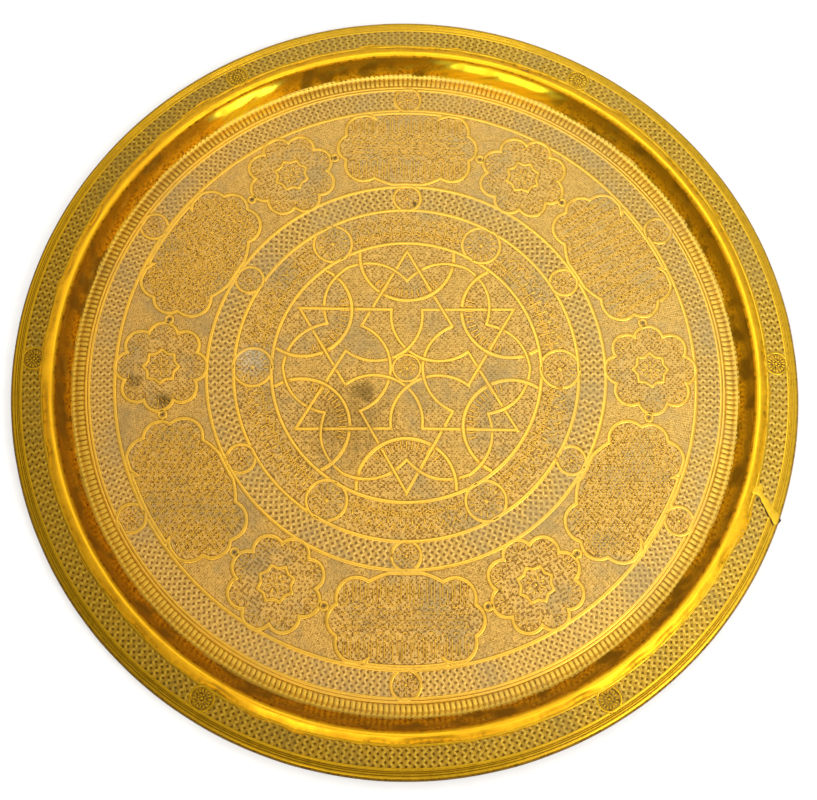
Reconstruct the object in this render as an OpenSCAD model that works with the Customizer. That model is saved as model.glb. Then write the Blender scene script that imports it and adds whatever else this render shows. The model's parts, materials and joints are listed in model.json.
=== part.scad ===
// Round engraved serving tray, beaten from one brass sheet over a wired edge.
// Millimetres, +Z up. The origin is on the tray's axis, on the underside of its floor.

/* [Tray] */
// Diameter over the rolled edge
tray_diameter = 600; // [450:10:750]
// Thickness of the brass sheet
sheet_thickness = 1.2; // [0.8:0.1:1.6]
// Height of the flat flange's top face above the surface the tray stands on
flange_height = 20; // [16:1:30]

/* [Rim] */
// Width of the flat flange, from the foot of the polished ridge to the edge
flange_width = 24; // [18:1:40]
// How far the ridge's crown stands above the flange
ridge_rise = 1.4; // [1:0.1:2]
// Slope of the ridge's outer side, in degrees
ridge_slope = 20; // [15:1:25]
// Radius of the ridge's crown, at the middle of the sheet
crown_radius = 3.5; // [3:0.1:5]
// Radius where the ridge runs out into the flange
runout_radius = 8; // [4:0.5:9]
// Radius of the wire that the edge is rolled over
wire_radius = 1.8; // [1.2:0.1:2.4]
// How far round the wire the sheet is rolled, in degrees
roll_sweep = 296; // [240:1:296]

/* [Well] */
// Steepness of the well's wall, in degrees from the floor
wall_slope = 70; // [50:1:80]
// Radius of the bend between the floor and the wall
foot_radius = 4; // [2:0.5:8]

/* [Repair] */
// Bearing of the brazed crack where it leaves the edge, in degrees round the tray
crack_bearing = -24; // [-180:1:180]
// How far the crack leans away from the radius, in degrees
crack_lean = 33; // [0:1:40]
// Width of the opened crack
crack_width = 2.2; // [1:0.1:4]
// Width of the braze that was run over the crack
braze_width = 4.6; // [3:0.1:8]
// How far the braze stands above the flange
braze_rise = 0.35; // [0.2:0.05:0.6]

/* [Hidden] */

ROUND = 360;   // segments of a full turn about the tray's axis
BEND = 96;     // segments of a full circle in the sheet's cross-section
REACH = 40;    // longer than any bend is wide
LAP = 0.02;    // how far a straight run reaches into the bends at its ends

tray_radius = tray_diameter / 2;
half_sheet = sheet_thickness / 2;

// Everything below follows the middle of the sheet, from the rolled edge inwards.
flange_mid = flange_height - half_sheet;
roll_radius = wire_radius + half_sheet;
roll_centre = [tray_radius - roll_radius - half_sheet, flange_mid - roll_radius];

runout_centre = [tray_radius - flange_width, flange_mid + runout_radius];
slope_low = runout_centre + runout_radius * [-sin(ridge_slope), -cos(ridge_slope)];
crown_centre_z = flange_mid + ridge_rise - crown_radius;
slope_high_z = crown_centre_z + crown_radius * cos(ridge_slope);
slope_high = [slope_low.x - (slope_high_z - slope_low.y) / tan(ridge_slope), slope_high_z];
crown_centre = [slope_high.x - crown_radius * sin(ridge_slope), crown_centre_z];

wall_high = crown_centre + crown_radius * [-sin(wall_slope), cos(wall_slope)];
wall_low_z = half_sheet + foot_radius * (1 - cos(wall_slope));
wall_low = [wall_high.x - (wall_high.y - wall_low_z) / tan(wall_slope), wall_low_z];
foot_centre = [wall_low.x - foot_radius * sin(wall_slope), half_sheet + foot_radius];

// A pie slice with its point at the centre, no more than half a turn wide.
module slice(from, to) {
    middle = (from + to) / 2;
    polygon([
        [0, 0],
        REACH * [cos(from), sin(from)],
        2 * REACH * [cos(middle), sin(middle)],
        REACH * [cos(to), sin(to)],
    ]);
}

// A band of sheet in cross-section.
module ring(radius) {
    difference() {
        circle(r = radius + half_sheet, $fn = BEND);
        circle(r = radius - half_sheet, $fn = BEND);
    }
}

// The part of that band between two bearings.
module bend(centre, radius, from, to) {
    translate(centre) intersection() {
        ring(radius);
        slice(from, to);
    }
}

// A straight run of sheet between two points of its middle line.
module run(start, end) {
    along = (end - start) / norm(end - start);
    across = half_sheet * [-along.y, along.x];
    first = start - LAP * along;
    last = end + LAP * along;
    polygon([first - across, last - across, last + across, first + across]);
}

// The edge, rolled down and under round the wire.
module roll() {
    translate(roll_centre) difference() {
        ring(roll_radius);
        slice(90, 450 - roll_sweep);
    }
}

// The sheet's whole cross-section, from the axis to the rolled edge.
module section() {
    run([LAP, half_sheet], [foot_centre.x, half_sheet]);
    bend(foot_centre, foot_radius, -90, -90 + wall_slope);
    run(wall_low, wall_high);
    bend(crown_centre, crown_radius, 90 - ridge_slope, 90 + wall_slope);
    run(slope_high, slope_low);
    bend(runout_centre, runout_radius, -90 - ridge_slope, -90);
    run([runout_centre.x, flange_mid], [roll_centre.x, flange_mid]);
    roll();
}

module whole_sheet() {
    rotate_extrude($fn = ROUND) section();
}

// Places its children with +X running inwards along the crack from the tray's edge.
module along_crack() {
    rotate(crack_bearing)
        translate([tray_radius, 0, 0])
            rotate(180 - crack_lean)
                children();
}

// The open crack: a slot from beyond the edge to the ridge's foot.
module crack() {
    length = flange_width / cos(crack_lean) - 1;
    along_crack()
        translate([-8, -crack_width / 2, 0])
            cube([length + 8, crack_width, 2 * flange_height]);
}

// The sheet metal that the crack took away, now braze.
module crack_fill() {
    intersection() {
        whole_sheet();
        crack();
    }
}

// The braze's bead: a low strip that lies on the flange, keyed into the filled crack.
module braze_bead() {
    inset = 4.5;
    length = flange_width / cos(crack_lean) - inset - 2;
    along_crack() {
        translate([inset, -braze_width / 2, flange_height])
            cube([length, braze_width, braze_rise]);
        translate([inset, -crack_width / 2, flange_mid])
            cube([length, crack_width, half_sheet + braze_rise]);
    }
}

module tray_sheet() {
    color("#c79a3a") difference() {
        whole_sheet();
        crack();
    }
}

module rim_wire() {
    color("#6f6a62") rotate_extrude($fn = ROUND)
        translate(roll_centre) circle(r = wire_radius, $fn = BEND);
}

module braze_repair() {
    color("#e0b838") union() {
        crack_fill();
        braze_bead();
    }
}

tray_sheet();
rim_wire();
braze_repair();
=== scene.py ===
"""A round serving tray of chased brass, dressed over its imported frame.

The tray is one sheet of metal. Each zone of its ornament is a piece of its own here, so that every
zone has a mesh and a finish at its own scale. Plans are drawn in millimetres about the tray's axis
and become metres when a mesh is shaped.
"""
import json
import logging
import math
import random
from contextlib import contextmanager
from dataclasses import dataclass, field, replace
from enum import Enum
from typing import Callable, Iterator, Optional, Sequence

import bpy
import numpy as np
from mathutils import Matrix, Vector


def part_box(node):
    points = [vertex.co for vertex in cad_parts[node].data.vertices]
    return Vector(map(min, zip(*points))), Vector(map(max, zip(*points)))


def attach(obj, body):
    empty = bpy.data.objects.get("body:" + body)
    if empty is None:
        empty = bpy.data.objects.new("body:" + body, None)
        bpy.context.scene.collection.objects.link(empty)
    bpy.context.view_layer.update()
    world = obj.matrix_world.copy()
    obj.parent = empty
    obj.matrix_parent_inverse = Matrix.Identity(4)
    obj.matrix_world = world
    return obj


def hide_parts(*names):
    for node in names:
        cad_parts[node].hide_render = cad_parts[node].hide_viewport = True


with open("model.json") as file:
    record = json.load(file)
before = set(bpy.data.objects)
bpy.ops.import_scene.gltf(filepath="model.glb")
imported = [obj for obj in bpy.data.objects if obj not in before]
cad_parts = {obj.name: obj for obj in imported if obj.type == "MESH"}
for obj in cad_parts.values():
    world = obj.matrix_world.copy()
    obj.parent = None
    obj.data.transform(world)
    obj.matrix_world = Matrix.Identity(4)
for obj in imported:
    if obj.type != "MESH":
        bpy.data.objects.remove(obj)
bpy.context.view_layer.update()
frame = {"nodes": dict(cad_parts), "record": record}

LOG = logging.getLogger("tray")

MM = 0.001
TURN = 2 * math.pi
SIXTH = TURN / 6
ROOT = "root"
STEPS = 540               # steps of a full turn on the turned surfaces

Path = np.ndarray         # plan points in millimetres, one row each
Rule = Callable[[np.ndarray], np.ndarray]


# ---------------------------------------------------------------- the bench: small modelling tools

def deselect() -> None:
    """Leaves edit mode and deselects everything, so that the next operator acts on new work only."""
    if bpy.context.object and bpy.context.object.mode != "OBJECT":
        bpy.ops.object.mode_set(mode="OBJECT")
    bpy.ops.object.select_all(action="DESELECT")


def take(piece: bpy.types.Object) -> bpy.types.Object:
    """Makes a piece the only selected object and the active one."""
    deselect()
    piece.select_set(True)
    bpy.context.view_layer.objects.active = piece
    return piece


@contextmanager
def editing(piece: bpy.types.Object, select: bool = True) -> Iterator[None]:
    """Holds a piece in edit mode, with all of it selected at the start or none."""
    take(piece)
    bpy.ops.object.mode_set(mode="EDIT")
    bpy.ops.mesh.select_all(action="SELECT" if select else "DESELECT")
    yield
    bpy.ops.object.mode_set(mode="OBJECT")


def fresh(name: str) -> bpy.types.Object:
    """Names the primitive that was just added."""
    piece = bpy.context.object
    piece.name = name
    piece.data.name = name
    return piece


def points(piece: bpy.types.Object) -> np.ndarray:
    """Reads a mesh's vertices as rows of x, y, z."""
    flat = np.empty(len(piece.data.vertices) * 3)
    piece.data.vertices.foreach_get("co", flat)
    return flat.reshape(-1, 3)


def reshape(piece: bpy.types.Object, rule: Rule) -> bpy.types.Object:
    """Moves every vertex of a mesh to where a rule puts it."""
    piece.data.vertices.foreach_set("co", rule(points(piece)).ravel())
    piece.data.update()
    return piece


def flat_grid(name: str, columns: int, rows: int) -> bpy.types.Object:
    """Adds a grid primitive whose x and y both run from 0 to 1."""
    deselect()
    bpy.ops.mesh.primitive_grid_add(x_subdivisions=columns, y_subdivisions=rows, size=1)
    return reshape(fresh(name), lambda co: co + (0.5, 0.5, 0))


def tidy_mesh(piece: bpy.types.Object, weld: float = 1e-6, cap_sides: int = 0) -> bpy.types.Object:
    """Welds a mesh's doubles, caps its open ends and turns its faces outwards."""
    with editing(piece):
        bpy.ops.mesh.remove_doubles(threshold=weld)
        bpy.ops.mesh.select_all(action="SELECT")
        if cap_sides:
            bpy.ops.mesh.fill_holes(sides=cap_sides)
            bpy.ops.mesh.select_all(action="SELECT")
        bpy.ops.mesh.normals_make_consistent(inside=False)
    return piece


def smooth(piece: bpy.types.Object, degrees: float = 40) -> bpy.types.Object:
    """Shades a piece smooth, and keeps the edges sharper than an angle."""
    take(piece)
    bpy.ops.object.shade_smooth_by_angle(angle=math.radians(degrees))
    return piece


def joined(name: str, parts: Sequence[bpy.types.Object]) -> bpy.types.Object:
    """Joins several mesh objects into one."""
    deselect()
    for part in parts:
        part.select_set(True)
    bpy.context.view_layer.objects.active = parts[0]
    if len(parts) > 1:
        bpy.ops.object.join()
    return fresh(name)


def array_along(piece: bpy.types.Object, pitch: float, count: int) -> bpy.types.Object:
    """Repeats a mesh along x with an Array modifier, welds the copies and applies it."""
    take(piece)
    repeat = piece.modifiers.new("repeat", "ARRAY")
    repeat.use_relative_offset = False
    repeat.use_constant_offset = True
    repeat.constant_offset_displace = (pitch, 0, 0)
    repeat.count = count
    repeat.use_merge_vertices = True
    repeat.merge_threshold = 1e-4
    bpy.ops.object.modifier_apply(modifier=repeat.name)
    return piece


def turned(name: str, section: Sequence[tuple[float, float]]) -> bpy.types.Object:
    """Spins a closed cross-section about the tray's axis."""
    deselect()
    bpy.ops.mesh.primitive_circle_add(vertices=len(section), radius=1)
    piece = fresh(name)
    outline = np.array([(radius, 0.0, height) for radius, height in section]) * MM
    reshape(piece, lambda _: outline)
    with editing(piece):
        bpy.ops.mesh.spin(steps=STEPS, angle=TURN, center=(0, 0, 0), axis=(0, 0, 1))
    return smooth(tidy_mesh(piece), 35)


# ---------------------------------------------------------------- plans: paths in millimetres

def polar(radius: float, angle: float) -> np.ndarray:
    """Gives the plan point at a radius and an angle in radians."""
    return np.array([radius * math.cos(angle), radius * math.sin(angle)])


def wrapped(radius: np.ndarray, angle: np.ndarray, height: np.ndarray) -> np.ndarray:
    """Gives rows of x, y, z from radius, angle and height about the tray's axis."""
    return np.c_[radius * np.cos(angle), radius * np.sin(angle), height]


def bearings(co: np.ndarray) -> tuple[np.ndarray, np.ndarray]:
    """Gives each row's distance from the axis, in the row's own unit, and its angle in radians."""
    return np.hypot(co[:, 0], co[:, 1]), np.arctan2(co[:, 1], co[:, 0])


def pushed(co: np.ndarray, push: np.ndarray) -> np.ndarray:
    """Gives the x and y of rows in metres, moved away from the axis by a push in millimetres."""
    return co[:, :2] * (1 + push * MM / bearings(co)[0])[:, None]


def arc(centre: Sequence[float], radius: float, start: float, end: float, step: float = 1.3) -> Path:
    """Draws an arc."""
    count = max(3, round(abs(end - start) * radius / step))
    angles = np.linspace(start, end, count + 1)
    return np.c_[centre[0] + radius * np.cos(angles), centre[1] + radius * np.sin(angles)]


def line(start: Sequence[float], end: Sequence[float], step: float = 1.3) -> Path:
    """Draws a straight line with points spaced by about a step."""
    count = max(1, round(math.dist(start, end) / step))
    return np.linspace(np.array(start), np.array(end), count + 1)


def chained(*parts: Path) -> Path:
    """Joins paths end to end and drops the points that they share."""
    path = np.vstack(parts)
    gap = np.r_[1.0, np.linalg.norm(np.diff(path, axis=0), axis=1)]
    return path[gap > 1e-3]


def placed(path: Path, angle: float, at: Sequence[float] = (0, 0), size: float = 1) -> Path:
    """Scales a path, turns it about the origin and then moves it."""
    c, s = math.cos(angle), math.sin(angle)
    return size * path @ np.array([[c, s], [-s, c]]) + np.array(at)


def lobed_outline(lobes: Sequence[tuple[float, float, float, float]], count: int = 240) -> Path:
    """Draws the outline of overlapping circles, as seen from the origin inside them."""
    angles = np.arange(count) * TURN / count
    away = np.c_[np.cos(angles), np.sin(angles)]
    reach = np.zeros(count)
    for x, y, radius, facing in lobes:
        along = away @ (x, y)
        under = along**2 - (x * x + y * y - radius * radius)
        under = np.where(np.cos(angles - facing) > math.cos(TURN / 8), under, -1)
        reach = np.maximum(reach, np.where(under > 0, along + np.sqrt(np.maximum(under, 0)), 0))
    return away * reach[:, None]


def inside(outline: Path, spots: np.ndarray) -> np.ndarray:
    """Tells which spots lie inside a closed outline, by counting the sides that each ray crosses."""
    x, y = spots[:, :1], spots[:, 1:2]
    ax, ay = outline[:, 0], outline[:, 1]
    bx, by = np.roll(ax, -1), np.roll(ay, -1)
    spans = (ay > y) != (by > y)
    rise = np.where(by == ay, 1e-9, by - ay)
    return (spans & (x < (bx - ax) * (y - ay) / rise + ax)).sum(axis=1) % 2 == 1


@dataclass
class Wobble:
    """A smooth unevenness round the tray, as a hammer leaves it."""

    seed: int
    waves: Sequence[int]
    size: float

    def __post_init__(self) -> None:
        """Draws the strength and phase of each wave."""
        dice = random.Random(self.seed)
        self.parts = [(n, dice.uniform(0.5, 1), dice.uniform(0, TURN)) for n in self.waves]

    def at(self, angle: np.ndarray, drift: np.ndarray | float = 0) -> np.ndarray:
        """Gives the unevenness in millimetres at each angle."""
        total = sum(a * np.sin(n * angle + phase + drift * (0.6 + a)) for n, a, phase in self.parts)
        return self.size * total / math.sqrt(len(self.parts))


# ---------------------------------------------------------------- the tray's section

@dataclass(frozen=True)
class Section:
    """The sheet's top surface from the axis to the edge, in millimetres, read from the frame."""

    foot_bend: float = 3.4       # radius of the bend at the foot of the wall, on the top surface
    crown_bend: float = 4.1      # radius of the ridge's crown
    runout_bend: float = 7.4     # radius where the ridge runs out into the rim
    wall_slope: float = math.radians(70)
    ridge_slope: float = math.radians(20)
    flange_width: float = 24.0

    @property
    def edge(self) -> float:
        """Radius of the tray's edge."""
        low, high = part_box("tray_sheet")
        return (high[1] - low[1]) / 2 / MM

    @property
    def floor(self) -> float:
        """Height of the floor's top surface, which is also the sheet's thickness."""
        mounts = {mount["name"]: mount for mount in frame["record"]["mounts"]}
        return mounts["well_floor"]["pos_m"][2] / MM

    @property
    def wire_radius(self) -> float:
        """Radius of the wire in the rolled edge."""
        low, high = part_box("rim_wire")
        return (high[2] - low[2]) / 2 / MM

    @property
    def roll(self) -> tuple[float, float]:
        """Radius and height of the middle of the rolled edge."""
        low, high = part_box("rim_wire")
        return (high[1] / MM - self.wire_radius, (high[2] + low[2]) / 2 / MM)

    @property
    def flange(self) -> float:
        """Height of the flat rim's top surface."""
        return self.roll[1] + self.wire_radius + self.floor

    @property
    def crest(self) -> float:
        """Height of the ridge's crown."""
        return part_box("tray_sheet")[1][2] / MM

    def bends(self) -> dict[str, tuple[float, float]]:
        """Works out the bends' centres and the points where they meet the straight runs.

        Returns:
            (radius, height) of each by name, in millimetres.
        """
        runout = (self.edge - self.flange_width, self.flange + self.runout_bend)
        slope_low = (runout[0] - self.runout_bend * math.sin(self.ridge_slope),
                     runout[1] - self.runout_bend * math.cos(self.ridge_slope))
        crown_z = self.crest - self.crown_bend
        high_z = crown_z + self.crown_bend * math.cos(self.ridge_slope)
        high_r = slope_low[0] - (high_z - slope_low[1]) / math.tan(self.ridge_slope)
        crown = (high_r - self.crown_bend * math.sin(self.ridge_slope), crown_z)
        wall_top = (crown[0] - self.crown_bend * math.sin(self.wall_slope),
                    crown_z + self.crown_bend * math.cos(self.wall_slope))
        foot_z = self.floor + self.foot_bend
        wall_foot_z = foot_z - self.foot_bend * math.cos(self.wall_slope)
        wall_foot_r = wall_top[0] - (wall_top[1] - wall_foot_z) / math.tan(self.wall_slope)
        foot = (wall_foot_r - self.foot_bend * math.sin(self.wall_slope), foot_z)
        return {"runout": runout, "slope_low": slope_low, "slope_high": (high_r, high_z),
                "crown": crown, "wall_top": wall_top, "wall_foot": (wall_foot_r, wall_foot_z),
                "foot": foot}

    def height(self, radius: np.ndarray) -> np.ndarray:
        """Gives the top surface's height at each radius from the axis to the foot of the wall."""
        foot_r, foot_z = self.bends()["foot"]
        past = np.clip(radius - foot_r, 0, self.foot_bend * 0.97)
        return foot_z - np.sqrt(self.foot_bend**2 - past**2)


SECTION = Section()


# ---------------------------------------------------------------- finishes

def linear(code: str) -> tuple[float, float, float, float]:
    """Turns an sRGB hex colour into linear light with full alpha."""
    parts = [int(code[i:i + 2], 16) / 255 for i in (0, 2, 4)]
    light = [p / 12.92 if p <= 0.04045 else ((p + 0.055) / 1.055) ** 2.4 for p in parts]
    return (*light, 1.0)


MIX = {"data_type": "RGBA"}                                  # its colours are inputs 6 and 7, out 2
TINT = {"data_type": "RGBA", "blend_type": "MULTIPLY"}
RANGE = {"interpolation_type": "SMOOTHSTEP"}                # value, from low, from high, to low, to high
TIMES = {"operation": "MULTIPLY"}
TIMES_PLUS = {"operation": "MULTIPLY_ADD"}


class Graph:
    """The node graph of one material."""

    def __init__(self, name: str) -> None:
        """Starts a material that holds only its output."""
        self.material = bpy.data.materials.new(name)
        self.material.use_nodes = True
        self.tree = self.material.node_tree
        self.tree.nodes.clear()

    def add(self, kind: str, settings: Optional[dict] = None, out: int | str = 0,
            **inputs: object) -> Optional[bpy.types.NodeSocket]:
        """Adds a node with its settings and links.

        Args:
            kind: the node's type, without the words ShaderNode.
            settings: attributes to set on the node.
            out: the output to give back, by its number or name.
            inputs: a value or an output's socket for each input, by its name with _ for a space, or
                by i and its number.

        Returns:
            The output's socket, or None for a node without outputs.
        """
        node = self.tree.nodes.new("ShaderNode" + kind)
        for key, value in (settings or {}).items():
            setattr(node, key, value)
        for key, value in inputs.items():
            numbered = key[0] == "i" and key[1:].isdigit()
            socket = node.inputs[int(key[1:]) if numbered else key.replace("_", " ")]
            if isinstance(value, bpy.types.NodeSocket):
                self.tree.links.new(value, socket)
            else:
                socket.default_value = value
        return node.outputs[out] if node.outputs else None


SHADED_SIDE = (-0.86, -0.5, 0.0)    # points to the side of the tray that the painted shade darkens most
SHADE_FROM, SHADE_TO = -0.25, 0.27  # how far along it the painted shade starts and ends, in metres
MOTTLE = 4.5                      # size of the finest mottle, in millimetres


@dataclass(frozen=True)
class Brass:
    """A finish of the tray's brass: bright metal on the high work, brown in the low, stains, and painted
    shade on one side.

    Heights are in millimetres above the floor's or rim's own surface. Stipple is the size of the
    punched grain, and patch is the size of the dull grey patches where the polish has worn off.
    """

    name: str
    bright: str                      # polished metal, on what stands high
    dull: str                        # the matted ground
    deep: str                        # the dirt in the pits
    haze: str = "A8987A"             # the grey-beige bloom of old polish
    level: float = 0.0               # height of the surface that the low and high are counted from
    low: float = -0.45
    middle: float = -0.15
    high: float = 0.2
    stipple: float = 0.9             # millimetres from one punch mark to the next
    stipple_depth: float = 0.10
    grit: float = 1.0                # how strongly the fine mottle shows
    patch: float = 46.0
    patch_detail: float = 5.0
    haze_share: float = 0.35
    rough_high: float = 0.22
    rough_low: float = 0.5
    ripple: float = 0.0              # depth of the hammer's unevenness, in millimetres
    ripple_size: float = 9.0
    side_shade: float = 0.0                # how much painted shade darkens one side of the tray; below 0 it is painted light that brightens that side
    stains: tuple[tuple[float, float, float, float, str], ...] = ()   # x, y, radius, share, colour
    tint_mark: str = ""                 # colour laid where a piece's marking attribute says: painted highlights on the wall, the painted shadow line on the ridge's lip, a dark line beside the braze
    tint_mark_rough: float = 0.0        # how much rougher those places are

    def stained(self, graph: Graph, place: object, uneven: object, colour: object) -> object:
        """Lays the stains over a colour, with ragged edges, and gives the new colour's socket."""
        for x, y, radius, share, tint in self.stains:
            spot = (x * MM, y * MM, self.level * MM)
            away = graph.add("VectorMath", {"operation": "DISTANCE"}, "Value", i0=place, i1=spot)
            away = graph.add("Math", TIMES_PLUS, i0=uneven, i1=radius * 1.3 * MM, i2=away)
            mask = graph.add("MapRange", RANGE, i0=away, i1=radius * 0.9 * MM, i2=radius * 1.8 * MM,
                             i3=share, i4=0.0)
            colour = graph.add("Mix", MIX, 2, i0=mask, i6=colour, i7=linear(tint))
        return colour

    def material(self) -> bpy.types.Material:
        """Builds the finish's node graph, all on Object coordinates.

        Returns:
            The material.
        """
        graph = Graph(self.name)
        place = graph.add("TexCoord", out="Object")
        up = graph.add("SeparateXYZ", out="Z", Vector=place)
        height = graph.add("Math", TIMES_PLUS, i0=up, i1=1 / MM, i2=-self.level)
        raised = graph.add("MapRange", RANGE, i0=height, i1=self.middle, i2=self.high)
        sunk = graph.add("MapRange", RANGE, i0=height, i1=self.low, i2=self.middle)
        grain = graph.add("TexVoronoi", {"feature": "F1"}, "Distance", Vector=place,
                          Scale=1 / (self.stipple * MM))
        punched = graph.add("MapRange", RANGE, i0=grain, i1=0.15, i2=0.6)
        patch = graph.add("TexNoise", Vector=place, Scale=1 / (self.patch * MM), Detail=self.patch_detail,
                          Roughness=0.62)
        bloom = graph.add("MapRange", RANGE, i0=patch, i1=0.46, i2=0.66, i3=0.0, i4=self.haze_share)
        mottle = graph.add("TexNoise", Vector=place, Scale=1 / (MOTTLE * MM), Detail=4.0, Roughness=0.7)
        worn = graph.add("MapRange", RANGE, i0=mottle, i1=0.3, i2=0.7)

        colour = graph.add("Mix", MIX, 2, i0=punched, i6=linear(self.deep), i7=linear(self.dull))
        rubbed = graph.add("MapRange", RANGE, i0=worn, i1=0.0, i2=1.0, i3=0.0, i4=0.45)
        colour = graph.add("Mix", MIX, 2, i0=rubbed, i6=colour, i7=linear(self.dull))
        colour = graph.add("Mix", MIX, 2, i0=sunk, i6=linear(self.deep), i7=colour)
        colour = graph.add("Mix", MIX, 2, i0=raised, i6=colour, i7=linear(self.bright))
        colour = graph.add("Mix", MIX, 2, i0=bloom, i6=colour, i7=linear(self.haze))
        colour = self.stained(graph, place, mottle, colour)
        # The marked colour is painted light and shade: bright highlights on the wall's shelves and the dark
        # shadow line on the ridge's lip. It also lays a dark line beside the braze.
        if self.tint_mark:
            marks = graph.add("Attribute", {"attribute_name": "tint_mark"}, "Fac")
            colour = graph.add("Mix", MIX, 2, i0=marks, i6=colour, i7=linear(self.tint_mark))
        # Painted shade: one side of the tray is darkened (lightened where the strength is below 0). Blue is
        # lowered most and green a little more than red, standing in for the darker surroundings that side
        # reflects.
        across = graph.add("VectorMath", {"operation": "DOT_PRODUCT"}, "Value", i0=place, i1=SHADED_SIDE)
        side_shade = graph.add("MapRange", RANGE, i0=across, i1=SHADE_FROM, i2=SHADE_TO, i3=1.0, i4=1.0 - self.side_shade)
        warmer = graph.add("MapRange", RANGE, i0=across, i1=SHADE_FROM, i2=SHADE_TO, i3=1.045, i4=0.925)
        tone = graph.add("MapRange", RANGE, i0=mottle, i1=0.2, i2=0.8, i3=1 - 0.12 * self.grit,
                         i4=1 + 0.08 * self.grit)
        red = graph.add("Math", TIMES, i0=tone, i1=side_shade)
        green = graph.add("Math", TIMES, i0=red, i1=warmer)
        blue = graph.add("Math", TIMES, i0=red, i1=side_shade)
        shade = graph.add("CombineColor", i0=red, i1=green, i2=blue)
        colour = graph.add("Mix", TINT, 2, i0=1.0, i6=colour, i7=shade)

        rough = graph.add("MapRange", RANGE, i0=height, i1=self.middle, i2=self.high, i3=self.rough_low,
                          i4=self.rough_high)
        rough = graph.add("Math", TIMES_PLUS, i0=bloom, i1=0.35, i2=rough)
        rough = graph.add("Math", TIMES_PLUS, i0=worn, i1=0.08, i2=rough)
        if self.tint_mark_rough:
            rough = graph.add("Math", TIMES_PLUS, i0=marks, i1=self.tint_mark_rough, i2=rough)

        relief = graph.add("Math", TIMES, i0=punched, i1=self.stipple_depth * MM)
        if self.ripple:
            blows = graph.add("TexVoronoi", {"feature": "SMOOTH_F1"}, "Distance", Vector=place,
                              Smoothness=0.6, Scale=1 / (self.ripple_size * MM))
            relief = graph.add("Math", TIMES_PLUS, i0=blows, i1=self.ripple * MM, i2=relief)
        bump = graph.add("Bump", Height=relief, Distance=1.0, Strength=1.0)
        shader = graph.add("BsdfPrincipled", Base_Color=colour, Metallic=1.0, Roughness=rough, Normal=bump)
        graph.add("OutputMaterial", Surface=shader)
        return graph.material


def marked(piece: bpy.types.Object, share: np.ndarray) -> bpy.types.Object:
    """Writes how far each vertex belongs to the places where its finish lays its marked colour."""
    layer = piece.data.attributes.new("tint_mark", "FLOAT", "POINT")
    layer.data.foreach_set("value", share.astype(np.float32))
    return piece


def dress(piece: bpy.types.Object, finish: Brass,
          replaces: str = "tray_sheet") -> bpy.types.Object:
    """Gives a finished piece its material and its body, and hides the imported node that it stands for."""
    piece.data.materials.clear()
    piece.data.materials.append(finish.material())
    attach(piece, ROOT)
    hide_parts(replaces)
    LOG.info("%s: %d faces", piece.name, len(piece.data.polygons))
    return piece


FLOOR = SECTION.floor
FLANGE = SECTION.flange

DIRT_AND_SHADOW = "43301A"                   # black-brown: spots where wet dirt has eaten in, the painted shadow line on the ridge's lip, and the dark line beside the braze
BLOOM = "DDD6C6"                  # pale chalky spots of dried polish
GREY = "A39376"                   # dull patches where the shine has been rubbed off
TAN = "A07C40"                    # a wide brownish bloom around the dirt

# Rubbed by the cloth for years: the straps read as warm, soft-edged gold lines.
STRAP_BRASS = Brass("polished_chased_strap_brass", bright="EDBA4C", dull="D6A03C", deep="8A6220",
                    level=FLOOR, low=-0.4, middle=-0.14, high=0.2, stipple=2.2, stipple_depth=0.02,
                    haze="DDBB6A", haze_share=0.3, rough_high=0.3, rough_low=0.45, side_shade=0.36,
                    stains=((-46.0, -44.0, 40.0, 0.3, TAN), (-33.0, -19.0, 8.0, 0.3, DIRT_AND_SHADOW),
                            (-122.0, 6.0, 12.0, 0.25, BLOOM)))
# Punched all over and never polished: a dull tan that lets the straps stand out.
MATTED_GROUND = Brass("matted_punched_ground_brass", bright="EDC06A", dull="DDB464", deep="86622C",
                      level=FLOOR, low=-0.8, middle=-0.45, high=0.05, haze="C6B488", haze_share=0.55,
                      rough_high=0.4, rough_low=0.55, side_shade=0.26,
                      stains=((-46.0, -44.0, 40.0, 0.5, TAN), (-33.0, -19.0, 10.0, 0.45, DIRT_AND_SHADOW),
                              (6.0, 141.0, 3.0, 0.75, DIRT_AND_SHADOW),
                              (14.0, 140.0, 2.2, 0.7, DIRT_AND_SHADOW), (-122.0, 6.0, 14.0, 0.5, BLOOM),
                              (-188.5, -28.0, 8.5, 0.75, DIRT_AND_SHADOW), (-212.0, -12.0, 8.0, 0.45, DIRT_AND_SHADOW),
                              (-60.0, 62.0, 15.0, 0.25, GREY), (24.0, 34.0, 13.0, 0.25, GREY)))
# Strands a little brighter than the small brown pits between them, so the band reads as woven cane.
WEAVE_BRASS = Brass("chased_basket_weave_brass", bright="F2CC74", dull="CEA454", deep="947040",
                    level=FLOOR, low=-0.5, middle=-0.26, high=0.24, haze="C6B184", haze_share=0.45,
                    rough_high=0.38, rough_low=0.5, side_shade=0.24)
# The rim is handled most, so its weave is browner; painted shade darkens it to one side.
RIM_WEAVE_BRASS = Brass("chased_rim_weave_brass", bright="EEC85A", dull="C09434", deep="7C5C22",
                        level=FLANGE, low=-0.5, middle=-0.26, high=0.24, haze="B69C60", haze_share=0.38,
                        rough_high=0.36, rough_low=0.5, side_shade=0.5,
                        stains=((262.0, -91.5, 2.2, 0.85, DIRT_AND_SHADOW), (259.5, -104.5, 2.2, 0.85, DIRT_AND_SHADOW)))
# Rounded flutes that catch the light singly, with brown left in the gaps.
GADROON_BRASS = Brass("raised_gadroon_brass", bright="F2C656", dull="CE9830", deep="82591A",
                      level=FLOOR, low=-0.5, middle=-0.22, high=0.2, stipple=1.6, stipple_depth=0.03,
                      haze_share=0.15, rough_high=0.42, rough_low=0.45, side_shade=0.4)
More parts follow.
